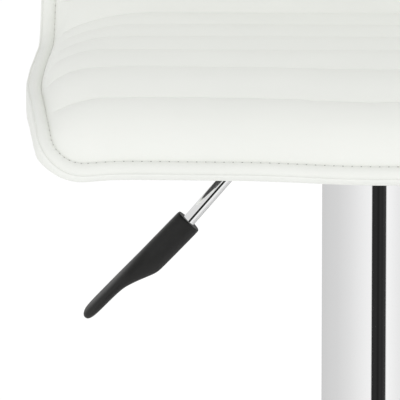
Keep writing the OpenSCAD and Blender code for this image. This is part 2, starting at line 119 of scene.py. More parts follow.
def front_sag(x, y):
    """How far the front edge is set back and lowered, in mm."""
    near = smooth(-70, -165, y)
    back = 6.0 * near * (x / 175.0) ** 2
    middle = -2.0 * near * 0.5 * (1 + np.cos(np.pi * np.clip(np.abs(x) / 80.0, 0, 1)))
    corner = -2.9 * near * np.exp(-((np.abs(x) - 178.0) / 21.0) ** 2)
    return back, 0.7 * near + middle + corner


def on_shell(s, x, h):
    """Points in metres at a distance s along the profile, x across it and h above the panel.

    Below the panel's upper face the shell thins towards its front lip."""
    s, x, h = np.broadcast_arrays(*(np.asarray(v, float) for v in (s, x, h)))
    h = np.where(h < 0, h * np.clip(0.2 + 0.8 * s / 30.0, 0.2, 1.0), h)
    at, py, pz, pa = PROFILE
    a = np.interp(s, at, pa)
    y = np.interp(s, at, py) - h * np.sin(a)
    z = np.interp(s, at, pz) + h * np.cos(a)
    back, down = front_sag(x, y)
    return np.stack([x, y + back, z + down], -1) * MM


def outline(count):
    """Evenly spaced points (s, x) of the outline with their inward normals, from the front."""
    angles = np.radians(np.arange(-90, -8, 3.0))
    corner = [(FRONT_CORNER + FRONT_CORNER * math.sin(a), FRONT_CORNER_X + FRONT_CORNER * math.cos(a))
              for a in angles]
    side = [(s, float(np.interp(s, SIDE_AT, SIDE_HALF)))
            for s in np.arange(34.0, SHELL_END - TOP_CORNER, 4.0)]
    top_c = (SHELL_END - TOP_CORNER, SIDE_HALF[-1] - TOP_CORNER)
    top = [(top_c[0] + TOP_CORNER * math.sin(a), top_c[1] + TOP_CORNER * math.cos(a))
           for a in np.radians(np.arange(0, 91, 5.0))]
    right = [(0.0, x) for x in np.arange(0, FRONT_CORNER_X - 2, 8.0)] + corner + side + top
    right += [(SHELL_END, x) for x in np.arange(top_c[1] - 8, 4, -8.0)] + [(SHELL_END, 0.0)]
    left = [(s, -x) for s, x in reversed(right) if abs(x) > 0.1]
    points = np.array(right + left)
    for _ in range(3):
        points = resample(points, 1600)
        wide = 5
        kernel = np.hanning(wide + 2)[1:-1]
        kernel /= kernel.sum()
        padded = np.concatenate([points[-wide:], points, points[:wide]])
        points = np.stack([np.convolve(padded[:, k], kernel, "same")[wide:-wide] for k in (0, 1)], 1)
    points = resample(points, count)
    ahead = np.roll(points, -1, 0) - np.roll(points, 1, 0)
    ahead /= np.linalg.norm(ahead, axis=1)[:, None]
    inward = np.stack([ahead[:, 1], -ahead[:, 0]], 1)
    return points, inward


def resample(points, count):
    """The closed line through points, cut into count equal lengths."""
    closed = np.concatenate([points, points[:1]])
    length = np.concatenate([[0], np.cumsum(np.linalg.norm(np.diff(closed, axis=0), axis=1))])
    at = np.arange(count) * length[-1] / count
    return np.stack([np.interp(at, length, closed[:, k]) for k in (0, 1)], 1)


def perimeter():
    points, _ = outline(1600)
    return float(np.linalg.norm(np.roll(points, -1, 0) - points, axis=1).sum())


def inner_half(rows, inset):
    """Half width of the outline moved inwards by inset, at each distance in rows."""
    points, inward = outline(3200)
    line = points + inward * inset
    right = line[line[:, 1] > 0]
    right = right[np.argsort(right[:, 0])]
    return np.interp(rows, right[:, 0], right[:, 1])


def corner_rows(inset, pitch):
    """Rows along the shell from one inset edge to the other, close together in the corners."""
    r0, r1 = FRONT_CORNER - inset, TOP_CORNER - inset
    first = inset + r0 * (1 - np.cos(np.radians(np.arange(0, 90, 7.5))))
    last = SHELL_END - inset - r1 * (1 - np.cos(np.radians(np.arange(82.5, -1, -7.5))))
    middle = np.arange(first[-1] + pitch, last[0] - pitch / 2, pitch)
    return np.concatenate([first, middle, last])


# ---- Mesh helpers --------------------------------------------------------------------

def mesh_object(name, verts, faces, material, uv=None):
    """A smooth-shaded mesh object from points and faces."""
    mesh = bpy.data.meshes.new(name)
    mesh.from_pydata([tuple(map(float, v)) for v in verts], [], [tuple(map(int, f)) for f in faces])
    mesh.validate()
    if uv is not None:
        layer = mesh.uv_layers.new(name="UVMap")
        index = np.empty(len(mesh.loops), np.int32)
        mesh.loops.foreach_get("vertex_index", index)
        layer.data.foreach_set("uv", np.asarray(uv, np.float32)[index].ravel())
    obj = bpy.data.objects.new(name, mesh)
    bpy.context.scene.collection.objects.link(obj)
    mesh.materials.append(material)
    outward(mesh)
    mesh.shade_smooth()
    return obj


def outward(mesh):
    """Turns every face of a closed mesh outwards."""
    work = bmesh.new()
    work.from_mesh(mesh)
    bmesh.ops.recalc_face_normals(work, faces=work.faces)
    if work.calc_volume(signed=True) < 0:
        bmesh.ops.reverse_faces(work, faces=work.faces)
    work.to_mesh(mesh)
    work.free()


def grid_faces(rows, cols, start=0, wrap_rows=False, wrap_cols=False):
    """Quads of a grid of rows by cols points, joined round where wrapped."""
    i = np.arange(rows if wrap_rows else rows - 1)
    j = np.arange(cols if wrap_cols else cols - 1)
    i, j = (v.ravel() for v in np.meshgrid(i, j, indexing="ij"))
    i2, j2 = (i + 1) % rows, (j + 1) % cols
    return np.stack([i * cols + j, i * cols + j2, i2 * cols + j2, i2 * cols + j], 1) + start


def sheet_solid(name, low, high, material, uv=None):
    """A closed body between two grids of points of the same shape."""
    rows, cols = high.shape[:2]
    half = rows * cols
    edge = np.concatenate([
        np.arange(cols), np.arange(1, rows) * cols + cols - 1,
        (rows - 1) * cols + np.arange(cols - 2, -1, -1), np.arange(rows - 2, 0, -1) * cols])
    after = np.roll(edge, -1)
    faces = np.concatenate([
        grid_faces(rows, cols, half), grid_faces(rows, cols)[:, ::-1],
        np.stack([edge, after, after + half, edge + half], 1)])
    verts = np.concatenate([low.reshape(-1, 3), high.reshape(-1, 3)])
    if uv is not None:
        uv = np.concatenate([uv.reshape(-1, 2)] * 2)
    return mesh_object(name, verts, faces, material, uv)


def swept_ring(name, section, count, material, lift=None):
    """A closed strip with the given (inset, height) section, run round the outline."""
    points, inward = outline(count)
    n = len(section)
    inset = np.array([p[0] for p in section], float)
    height = np.array([p[1] for p in section], float)
    line = points[:, None, :] + inward[:, None, :] * inset[None, :, None]
    extra = 0 if lift is None else lift(np.arange(count) / count, inset)
    verts = on_shell(line[..., 0], line[..., 1], height[None, :] + extra)
    length = np.linspace(0, perimeter(), count, endpoint=False)
    girth = np.concatenate([[0], np.cumsum(np.hypot(np.diff(inset), np.diff(height)))])
    uv = np.stack(np.broadcast_arrays(length[:, None], girth[None, :]), -1) * MM
    return mesh_object(name, verts.reshape(-1, 3), grid_faces(count, n, 0, True, True), material,
                       uv.reshape(-1, 2))


def lofted(name, rings, material, subdivide=2):
    """A closed body through rings of points, with rounded ends."""
    rings = np.asarray(rings, float)
    count, n = rings.shape[:2]
    verts = np.concatenate([rings.reshape(-1, 3), rings[:1].mean(1), rings[-1:].mean(1)])
    faces = [tuple(f) for f in grid_faces(count, n, 0, False, True)]
    for k in range(n):
        faces.append((count * n, (k + 1) % n, k))
        faces.append((count * n + 1, (count - 1) * n + k, (count - 1) * n + (k + 1) % n))
    obj = mesh_object(name, verts, faces, material)
    if subdivide:
        apply_subdivision(obj, subdivide)
    return obj


def apply_subdivision(obj, levels):
    mod = obj.modifiers.new("Subdivision", "SUBSURF")
    mod.levels = mod.render_levels = levels
    bake(obj)


def bake(obj):
    """Turns an object's modifiers into plain mesh."""
    seen = obj.evaluated_get(bpy.context.evaluated_depsgraph_get())
    mesh = bpy.data.meshes.new_from_object(seen)
    old = obj.data
    obj.modifiers.clear()
    obj.data = mesh
    mesh.name = obj.name
    bpy.data.meshes.remove(old)
    return obj


# ---- Materials -----------------------------------------------------------------------

MATERIALS = {}


def group_tree(name, inputs, outputs):
    """An empty shader group with named inputs (name, type, default) and outputs."""
    tree = bpy.data.node_groups.new(name, "ShaderNodeTree")
    for label, kind, value in inputs:
        socket = tree.interface.new_socket(label, in_out="INPUT", socket_type=kind)
        if value is not None:
            socket.default_value = value
    for label, kind in outputs:
        tree.interface.new_socket(label, in_out="OUTPUT", socket_type=kind)
    return tree, tree.nodes.new("NodeGroupInput"), tree.nodes.new("NodeGroupOutput")


def grain_group():
    """Pebbled grain and soft unevenness: a height, a tone and a gloss mask."""
    name = "Grain"
    if name in bpy.data.node_groups:
        return bpy.data.node_groups[name]
    tree, start, end = group_tree(
        name,
        [("Vector", "NodeSocketVector", None), ("Pebble Size", "NodeSocketFloat", 0.001),
         ("Patch Size", "NodeSocketFloat", 0.08), ("Softness", "NodeSocketFloat", 0.5)],
        [("Height", "NodeSocketFloat"), ("Tone", "NodeSocketFloat"), ("Gloss", "NodeSocketFloat")])
    nodes, links = tree.nodes, tree.links

    def scaled(socket):
        inverse = nodes.new("ShaderNodeMath")
        inverse.operation = "DIVIDE"
        inverse.inputs[0].default_value = 1.0
        links.new(start.outputs[socket], inverse.inputs[1])
        return inverse.outputs[0]

    pebble = nodes.new("ShaderNodeTexVoronoi")
    pebble.feature = "SMOOTH_F1"
    links.new(start.outputs["Vector"], pebble.inputs["Vector"])
    links.new(scaled("Pebble Size"), pebble.inputs["Scale"])
    links.new(start.outputs["Softness"], pebble.inputs["Smoothness"])
    fine = nodes.new("ShaderNodeTexNoise")
    fine.inputs["Detail"].default_value = 4
    links.new(start.outputs["Vector"], fine.inputs["Vector"])
    links.new(scaled("Pebble Size"), fine.inputs["Scale"])
    both = nodes.new("ShaderNodeMath")
    both.operation = "ADD"
    links.new(pebble.outputs["Distance"], both.inputs[0])
    links.new(fine.outputs["Fac"], both.inputs[1])
    patch = nodes.new("ShaderNodeTexNoise")
    patch.inputs["Detail"].default_value = 3
    links.new(start.outputs["Vector"], patch.inputs["Vector"])
    links.new(scaled("Patch Size"), patch.inputs["Scale"])
    links.new(both.outputs[0], end.inputs["Height"])
    links.new(patch.outputs["Fac"], end.inputs["Tone"])
    gloss = nodes.new("ShaderNodeMath")
    gloss.operation = "MULTIPLY_ADD"
    links.new(fine.outputs["Fac"], gloss.inputs[0])
    gloss.inputs[1].default_value = 0.5
    links.new(patch.outputs["Fac"], gloss.inputs[2])
    links.new(gloss.outputs[0], end.inputs["Gloss"])
    return tree


def finish(name, color, darker, rough, metallic=0.0, pebble=0.6, patch=60.0, bump=0.1, depth=0.05,
           coat=0.0, sheen=0.0, stretch=(1, 1, 1), softness=0.5, specular=0.5, ior=1.5):
    """A material with grain, patches of tone and uneven gloss. Sizes are in millimetres."""
    if name in MATERIALS:
        return MATERIALS[name]
    mat = bpy.data.materials.new(name)
    mat.use_nodes = True
    nodes, links = mat.node_tree.nodes, mat.node_tree.links
    shader = nodes["Principled BSDF"]
    shader.inputs["Metallic"].default_value = metallic
    shader.inputs["IOR"].default_value = ior
    shader.inputs["Specular IOR Level"].default_value = specular
    shader.inputs["Coat Weight"].default_value = coat
    shader.inputs["Coat Roughness"].default_value = 0.1
    shader.inputs["Sheen Weight"].default_value = sheen
    where = nodes.new("ShaderNodeTexCoord")
    turned = nodes.new("ShaderNodeMapping")
    turned.inputs["Scale"].default_value = stretch
    links.new(where.outputs["Object"], turned.inputs["Vector"])
    grain = nodes.new("ShaderNodeGroup")
    grain.node_tree = grain_group()
    grain.inputs["Pebble Size"].default_value = pebble * MM
    grain.inputs["Patch Size"].default_value = patch * MM
    grain.inputs["Softness"].default_value = softness
    links.new(turned.outputs["Vector"], grain.inputs["Vector"])
    tone = nodes.new("ShaderNodeMix")
    tone.data_type = "RGBA"
    tone.inputs["A"].default_value = (*darker, 1)
    tone.inputs["B"].default_value = (*color, 1)
    spread = nodes.new("ShaderNodeMapRange")
    spread.inputs["From Min"].default_value = 0.3
    spread.inputs["From Max"].default_value = 0.7
    links.new(grain.outputs["Tone"], spread.inputs["Value"])
    links.new(spread.outputs["Result"], tone.inputs["Factor"])
    links.new(tone.outputs["Result"], shader.inputs["Base Color"])
    gloss = nodes.new("ShaderNodeMapRange")
    gloss.inputs["From Min"].default_value = 0.4
    gloss.inputs["From Max"].default_value = 1.1
    gloss.inputs["To Min"].default_value = rough[0]
    gloss.inputs["To Max"].default_value = rough[1]
    links.new(grain.outputs["Gloss"], gloss.inputs["Value"])
    links.new(gloss.outputs["Result"], shader.inputs["Roughness"])
    raised = nodes.new("ShaderNodeBump")
    raised.inputs["Strength"].default_value = bump
    raised.inputs["Distance"].default_value = depth * MM
    links.new(grain.outputs["Height"], raised.inputs["Height"])
    links.new(raised.outputs["Normal"], shader.inputs["Normal"])
    MATERIALS[name] = mat
    return mat


def leather():
    p = bpy.context.scene.stool_seat
    c = tuple(p.leather_colour)
    return finish("White leatherette", c, tuple(0.975 * v for v in c), (0.42, 0.56), pebble=0.8,
                  patch=70, bump=0.28, depth=0.06, specular=0.38)


def binding():
    p = bpy.context.scene.stool_seat
    c = tuple(0.985 * v for v in p.leather_colour)
    return finish("White leatherette binding", c, tuple(0.975 * v for v in c), (0.44, 0.58),
                  pebble=0.8, patch=50, bump=0.28, depth=0.06, specular=0.38)


def chrome():
    return finish("Polished chrome", (0.97, 0.97, 0.97), (0.95, 0.95, 0.955), (0.025, 0.05),
                  metallic=1.0, pebble=2.0, patch=120, bump=0.006, depth=0.02)


# ---- Sizes and colours ---------------------------------------------------------------

class StoolSeatProps(bpy.types.PropertyGroup):
    """Sizes and colour of the upholstery."""

    leather_colour: bpy.props.FloatVectorProperty(
        name="Leather colour", description="Colour of the white leatherette",
        default=(0.905, 0.918, 0.876), subtype="COLOR", min=0, max=1)
    seam_pitch: bpy.props.FloatProperty(
        name="Seam pitch", description="Distance between two sewn channels", default=0.052,
        unit="LENGTH")
    puff: bpy.props.FloatProperty(
        name="Puff", description="How far a channel stands up between its seams", default=0.0062,
        unit="LENGTH")
    roll: bpy.props.FloatProperty(
        name="Side roll", description="Width over which the padding rounds down to the border",
        default=0.064, unit="LENGTH")
    border: bpy.props.FloatProperty(
        name="Border width", description="Width of the sewn border", default=0.0092,
        unit="LENGTH")
    stitch_pitch: bpy.props.FloatProperty(
        name="Stitch pitch", description="Distance between two stitches", default=0.0051,
        unit="LENGTH")
    stitch_length: bpy.props.FloatProperty(
        name="Stitch length", description="Visible length of a stitch", default=0.0034,
        unit="LENGTH")
    thread: bpy.props.FloatProperty(
        name="Thread", description="Radius of the thread", default=0.00034, unit="LENGTH")


class StoolLeverProps(bpy.types.PropertyGroup):
    """Sizes of the height lever."""

    collar: bpy.props.FloatProperty(
        name="Collar", description="Radius of the paddle's collar", default=0.0078, unit="LENGTH")
    blade: bpy.props.FloatProperty(
        name="Blade width", description="Half width of the blade", default=0.0136, unit="LENGTH")
    rod: bpy.props.FloatProperty(
        name="Rod", description="Radius of the lever rod", default=0.0038, unit="LENGTH")
    rod_angle: bpy.props.FloatProperty(
        name="Rod angle", description="Angle of the rod below the horizontal",
        default=math.radians(49.1), subtype="ANGLE")
    paddle_angle: bpy.props.FloatProperty(
        name="Paddle angle", description="Angle of the paddle below the horizontal",
        default=math.radians(46.3), subtype="ANGLE")
    colour: bpy.props.FloatVectorProperty(
        name="Paddle colour", description="Colour of the moulded paddle",
        default=(0.016, 0.016, 0.0152), subtype="COLOR", min=0, max=1)


class StoolStageProps(bpy.types.PropertyGroup):
    """Studio light, floor and camera."""

    front_light: bpy.props.FloatProperty(
        name="Front", description="Brightness of the studio in front of the stool", default=1.14)
    top_light: bpy.props.FloatProperty(
        name="Top", description="Brightness of the studio overhead", default=0.76)
    back_light: bpy.props.FloatProperty(
        name="Back", description="Brightness of the studio behind the stool", default=0.62)
    lens: bpy.props.FloatProperty(
        name="Lens", description="Focal length of the camera in millimetres", default=532.6)


# ---- Pieces --------------------------------------------------------------------------

def channel(s, pitch):
    """0 at each seam and 1 half way between two of them."""
    share = np.clip((s - FIRST_SEAM) / pitch, -0.75, 11.2)
    return np.abs(np.sin(np.pi * share)) ** 0.7


def seam_number(s, pitch):
    return np.clip(np.round((s - FIRST_SEAM) / pitch), 0, 10)


def cover_rows(inset, pitch):
    """Rows along the cover, close together in the corners and at the seams."""
    rows = corner_rows(inset, 3.8)
    away = np.abs(rows - FIRST_SEAM - pitch * seam_number(rows, pitch))
    beside = np.array([-4.4, -3.0, -1.8, -0.8, 0, 0.8, 1.8, 3.0, 4.4])
    seams = FIRST_SEAM + pitch * np.arange(11)
    return np.sort(np.concatenate([rows[away > 5.6], (seams[:, None] + beside).ravel()]))


def puckers(x, s, number, away):
    """Small gathers of the leather along each seam."""
    turn = number * 2.4
    wave = (np.sin(x / 4.3 + turn) + 0.8 * np.sin(x / 2.9 - 2 * turn + s / 9.0)
            + 0.7 * np.sin(x / 9.7 + 3 * turn))
    return 0.16 * wave * np.exp(-(away / 6.5) ** 2)


class STOOL_OT_cover(bpy.types.Operator):
    """One padded cover with sewn channels, from the front lip over the seat and up the back"""

    bl_idname = "stool.cover"
    bl_label = "Padded cover"

    def execute(self, context):
        p = context.scene.stool_seat
        inset = p.border / MM - COVER_UNDER_BORDER
        pitch = p.seam_pitch / MM
        rows = cover_rows(inset, pitch)
        half = inner_half(rows, inset)
        share = np.sin(np.linspace(-np.pi / 2, np.pi / 2, 141))
        share = 0.45 * share + 0.55 * np.linspace(-1, 1, 141)
        s = np.repeat(rows[:, None], len(share), 1)
        x = half[:, None] * share[None, :]
        room = half[:, None] - np.abs(x)
        wide = np.interp(s, RISE_AT, RISE_WIDTH)
        lean = np.clip(room / (wide * p.roll / MM), 0, 1)
        across = (1 - (1 - lean) ** 1.8) ** 0.55
        base = np.interp(s, BASE_AT, BASE_HEIGHT)
        edge = BASE_HEIGHT[0]
        first = smooth(12, 40, s) * 0.5 + 0.5 * smooth(44, 60, s)
        last = 1 - smooth(586, 604, s)
        number = seam_number(s, pitch)
        away = np.abs(s - FIRST_SEAM - pitch * number)
        puff = p.puff / MM * (channel(s, pitch) - 0.4) * first * last
        groove = -1.0 * np.exp(-(away / 1.2) ** 2) + puckers(x, s, number, away)
        height = edge + (base - edge) * across + (puff + groove * last) * smooth(0, 9, room)
        top = on_shell(s, x, height)
        low = on_shell(s, x, np.minimum(0.4 + 0.5 * smooth(0, 3, room), height - 0.5))
        uv = np.stack([x, s], -1) * MM
        obj = sheet_solid("padded_cover", low, top, leather(), uv)
        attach(obj, "seat")
        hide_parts("seat_padding", "back_padding")
        return {"FINISHED"}


class STOOL_OT_border(bpy.types.Operator):
    """The sewn border round the edge, with its raised lip, and the board inside it"""

    bl_idname = "stool.border"
    bl_label = "Border and board"

    def execute(self, context):
        p = context.scene.stool_seat
        w = p.border / MM
        section = [
            (w + 0.6, 0.6), (w + 0.5, 2.5), (w - 0.1, 3.1), (w - 0.9, 4.0), (w - 2.0, 4.8),
            (w - 3.4, 5.2), (w - 4.8, 5.2), (w - 6.2, 4.9), (w - 7.2, 4.4), (1.55, 4.0),
            (1.3, 4.0), (1.1, 4.35), (0.7, 4.5), (0.3, 4.1), (0.0, 3.2), (-0.1, 0.0),
            (-0.1, -4.0), (-0.1, -8.0), (0.1, -11.0), (0.6, -12.8), (2.0, -13.6), (4.5, -13.9),
            (7.5, -13.6), (w - 0.6, -12.9), (w + 0.5, -11.0), (w + 0.6, -5.0)]
        stitches = round(perimeter() / (p.stitch_pitch / MM))

        def pucker(share, inset):
            wave = 0.5 + 0.5 * np.cos(2 * np.pi * share * stitches)
            near = np.exp(-((inset - (w - 0.6)) / 1.7) ** 2)
            return -0.32 * wave[:, None] * near[None, :]

        obj = swept_ring("seat_border", section, stitches * 6, binding(), pucker)
        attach(obj, "seat")
        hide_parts("edge_border")

        rows = corner_rows(3.6, 9.0)
        half = inner_half(rows, 3.6)
        share = np.linspace(-1, 1, 33)
        s = np.repeat(rows[:, None], len(share), 1)
        x = half[:, None] * share[None, :]
        board = sheet_solid("seat_board", on_shell(s, x, -9.9), on_shell(s, x, -0.1),
                            finish("Bent plywood", (0.66, 0.48, 0.3), (0.5, 0.35, 0.2), (0.5, 0.65),
                                   pebble=1.5, patch=30, bump=0.2, stretch=(1, 0.12, 0.12)))
        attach(board, "seat")
        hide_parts("seat_panel")
        return {"FINISHED"}


class STOOL_OT_stitches(bpy.types.Operator):
    """Thread along the border's inner seam, and grey capsules of painted shade at the needle holes, set out
    by Geometry Nodes
    """

    bl_idname = "stool.stitches"
    bl_label = "Stitches"

    def execute(self, context):
        p = context.scene.stool_seat
        count = round(perimeter() / (p.stitch_pitch / MM))
        thread = finish("White thread", (0.84, 0.85, 0.82), (0.78, 0.79, 0.76), (0.6, 0.75), pebble=0.25,
                        patch=8, bump=0.4)
        # Grey painted shade for the needle holes, darker than the leather
        hole_shade = finish("Needle hole painted shade", (0.56, 0.56, 0.54), (0.48, 0.48, 0.46), (0.7, 0.8), pebble=0.3,
                      patch=8, bump=0.2)
        w = p.border / MM
        line = w - STITCH_FROM_EDGE
        obj = stitched("border_stitches", line, STITCH_HEIGHT, count, 0.5, p.stitch_length, p.thread, thread)
        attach(obj, "seat")
        # Grey capsules between the stitches: painted shade inside the needle holes
        hole_shade_marks = stitched("needle_hole_painted_shade", line, STITCH_HEIGHT, count, 0.0, NEEDLE_HOLE_LENGTH * MM,
                         NEEDLE_HOLE_RADIUS * MM, hole_shade)
        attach(hole_shade_marks, "seat")
        return {"FINISHED"}


def stitched(name, inset, height, count, phase, length, radius, material):
    """Small capsules set end to end along the outline, one for each stitch."""
    points, inward = outline(count * 4)
    line = points + inward * inset
    offset = int(phase * 4)
    line = np.roll(line, -offset, 0)
    verts = on_shell(line[:, 0], line[:, 1], height)[::4]
    ahead = on_shell(line[:, 0], line[:, 1], height)
    along = (np.roll(ahead, -1, 0) - np.roll(ahead, 1, 0))[::4]
    mesh = bpy.data.meshes.new(name)
    mesh.from_pydata([tuple(v) for v in verts], [], [])
    mesh.attributes.new("along", "FLOAT_VECTOR", "POINT").data.foreach_set(
        "vector", along.astype(np.float32).ravel())
    obj = bpy.data.objects.new(name, mesh)
    bpy.context.scene.collection.objects.link(obj)
    tree = stitch_tree()
    mod = obj.modifiers.new("Stitches", "NODES")
    mod.node_group = tree
    ids = {i.name: i.identifier for i in tree.interface.items_tree if i.item_type == "SOCKET"}
    mod[ids["Length"]] = length
    mod[ids["Radius"]] = radius
    mod[ids["Material"]] = material
    bake(obj)
    obj.data.shade_smooth()
    return obj


def stitch_tree():
    """Geometry Nodes: a rounded thread on each point, turned along the seam."""
    name = "Stitch row"
    if name in bpy.data.node_groups:
        return bpy.data.node_groups[name]
    tree = bpy.data.node_groups.new(name, "GeometryNodeTree")
    tree.interface.new_socket("Geometry", in_out="INPUT", socket_type="NodeSocketGeometry")
    for label, kind in (("Length", "NodeSocketFloat"), ("Radius", "NodeSocketFloat"),
                        ("Material", "NodeSocketMaterial")):
        tree.interface.new_socket(label, in_out="INPUT", socket_type=kind)
    tree.interface.new_socket("Geometry", in_out="OUTPUT", socket_type="NodeSocketGeometry")
    nodes, links = tree.nodes, tree.links
    start, end = nodes.new("NodeGroupInput"), nodes.new("NodeGroupOutput")
    ball = nodes.new("GeometryNodeMeshUVSphere")
    ball.inputs["Segments"].default_value = 6
    ball.inputs["Rings"].default_value = 6
    ball.inputs["Radius"].default_value = 1.0
    size = nodes.new("ShaderNodeCombineXYZ")
    half = nodes.new("ShaderNodeMath")
    half.operation = "MULTIPLY"
    half.inputs[1].default_value = 0.5
    links.new(start.outputs["Length"], half.inputs[0])
    links.new(start.outputs["Radius"], size.inputs["X"])
    links.new(start.outputs["Radius"], size.inputs["Y"])
    links.new(half.outputs[0], size.inputs["Z"])
    along = nodes.new("GeometryNodeInputNamedAttribute")
    along.data_type = "FLOAT_VECTOR"
    along.inputs["Name"].default_value = "along"
    turn = nodes.new("FunctionNodeAlignRotationToVector")
    turn.axis = "Z"
    links.new(along.outputs["Attribute"], turn.inputs["Vector"])
    put = nodes.new("GeometryNodeInstanceOnPoints")
    links.new(start.outputs["Geometry"], put.inputs["Points"])
    links.new(ball.outputs["Mesh"], put.inputs["Instance"])
    links.new(turn.outputs["Rotation"], put.inputs["Rotation"])
    links.new(size.outputs["Vector"], put.inputs["Scale"])
    real = nodes.new("GeometryNodeRealizeInstances")
    links.new(put.outputs["Instances"], real.inputs["Geometry"])
    dress = nodes.new("GeometryNodeSetMaterial")
    links.new(real.outputs["Geometry"], dress.inputs["Geometry"])
    links.new(start.outputs["Material"], dress.inputs["Material"])
    links.new(dress.outputs["Geometry"], end.inputs["Geometry"])
    return tree


class STOOL_OT_back_cover(bpy.types.Operator):
    """The plain cover on the rear of the back and the black cloth under the seat, a dust cover whose black
    also paints the shade under the seat for the chrome rod to reflect
    """

    bl_idname = "stool.back_cover"
    bl_label = "Rear cover and underside"

    def execute(self, context):
        inset = context.scene.stool_seat.border / MM + 0.9
        rows = corner_rows(inset, 6.0)
        parts = (
            ("rear_cover", rows[rows > SEAT_END + 6], leather(), 1.6, "white_leather"),
            # Black cloth under the seat: a dust cover, and also painted shade under the seat that the chrome
            # rod reflects dark
            ("underside_cloth_and_painted_shade", rows[rows < SEAT_END + 5],
             finish("Black dust cloth and painted shade", (0.02, 0.02, 0.02), (0.012, 0.012, 0.012), (0.85, 0.95),
                    pebble=0.5, patch=20, bump=0.5, depth=0.1, sheen=0.2), 0.2, "black_plastic"))
        for name, part, material, puff, held in parts:
            half = inner_half(part, inset)
            share = np.linspace(-1, 1, 61)
            s = np.repeat(part[:, None], len(share), 1)
            x = half[:, None] * share[None, :]
            room = np.minimum(half[:, None] - np.abs(x),
                              np.minimum(s - part[0], part[-1] - s) + 2)
            low = on_shell(s, x, -12.6 - puff * smooth(0, 24, room))
            obj = sheet_solid(name, low, on_shell(s, x, -10.2), material, np.stack([x, s], -1) * MM)
            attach(obj, "seat")
            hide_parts("rear_cover")
        return {"FINISHED"}


class STOOL_OT_paddle(bpy.types.Operator):
    """The moulded paddle: a round collar that thins into a flat blade"""

    bl_idname = "stool.paddle"
    bl_label = "Lever paddle"

    # Distance along the paddle, lower edge, upper edge, half width, squareness, all in mm
    STATIONS = (
        (0.0, -7.4, 7.0, 7.0, 2.5), (0.2, -8.1, 7.7, 7.7, 2.6), (0.7, -8.4, 8.0, 8.1, 2.7),
        (3.0, -8.45, 8.05, 8.2, 2.7), (14.0, -8.4, 8.05, 8.3, 2.7), (25.0, -8.3, 8.05, 8.5, 2.8),
        (31.0, -8.2, 8.0, 9.0, 2.9), (34.0, -8.0, 8.0, 9.6, 3.0), (36.5, -7.4, 8.0, 10.2, 3.0),
        (40.5, -5.6, 8.0, 11.2, 3.0), (46.0, -3.1, 8.0, 12.4, 3.0), (50.0, -1.5, 8.0, 13.1, 3.0),
        (54.0, -0.1, 8.0, 13.4, 3.0), (59.0, 0.7, 8.0, 13.6, 3.0), (70.0, 0.9, 8.1, 13.4, 3.0),
        (77.5, 1.0, 8.1, 12.4, 3.0), (81.5, 1.5, 7.8, 10.8, 2.9), (83.4, 2.4, 6.9, 8.6, 2.7),
        (84.2, 3.5, 5.8, 6.0, 2.4))

    def execute(self, context):
        p = context.scene.stool_lever
        grip = Vector((-0.113, 0.0, 0.5075))
        a = p.paddle_angle
        along = Vector((-math.cos(a), 0, -math.sin(a)))
        up = Vector((-math.sin(a), 0, math.cos(a)))
        side = Vector((0, -1, 0))
        rings = []
        for d, low, high, wide, square in self.STATIONS:
            ring = []
            for k in range(24):
                t = 2 * math.pi * k / 24
                c, q = math.cos(t), math.sin(t)
                e = 2 / square
                u = math.copysign(abs(c) ** e, c) * wide
                v = math.copysign(abs(q) ** e, q) * (high - low) / 2 + (high + low) / 2
                ring.append(grip + along * (d - 0.3) * MM + side * u * MM + up * v * MM)
            rings.append(ring)
        colour = tuple(p.colour)
        mat = finish("Black moulded plastic", tuple(1.25 * v for v in colour), colour, (0.4, 0.54),
                     pebble=0.35, patch=14, bump=0.45, depth=0.05, specular=0.36)
        obj = lofted("lever_paddle", rings, mat, 2)
        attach(obj, "lever")
        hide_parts("lever_handle")
        obj.visible_glossy = False
        return {"FINISHED"}


class STOOL_OT_rod(bpy.types.Operator):
    """The bent chromed rod between the housing and the paddle"""

    bl_idname = "stool.rod"
    bl_label = "Lever rod"

    def execute(self, context):
        p = context.scene.stool_lever
        r, bend, a = p.rod, 0.014, p.rod_angle
        tip = Vector((-0.113, 0.0, 0.5075))
        ahead = Vector((-math.cos(a), 0, -math.sin(a)))
        tip += ahead * 0.024
        level = 0.5726
        elbow_x = tip.x - (tip.z - level) / math.tan(a)
        tangent = bend * math.tan(a / 2)
        centre = Vector((elbow_x + tangent, 0, level - bend))
        stations = [(Vector((-0.0396 - k * 0.0004, 0, level)), 0.0) for k in (0, 1, 2)]
        stations.append((Vector((elbow_x + tangent, 0, level)), 0.0))
        for k in range(1, 13):
            t = a * k / 12
            stations.append((centre + Vector((-math.sin(t), 0, math.cos(t))) * bend, t))
        stations += [(tip - ahead * k * 0.0004, a) for k in (2, 1, 0)]
        rings = []
        for point, t in stations:
            up = Vector((-math.sin(t), 0, math.cos(t)))
            side = Vector((0, -1, 0))
            rings.append([point + (side * math.cos(2 * math.pi * k / 32)
                                   + up * math.sin(2 * math.pi * k / 32)) * r for k in range(32)])
        obj = lofted("lever_rod_bent", rings, chrome(), 0)
        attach(obj, "lever")
        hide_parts("lever_rod")
        obj.visible_glossy = False
        return {"FINISHED"}


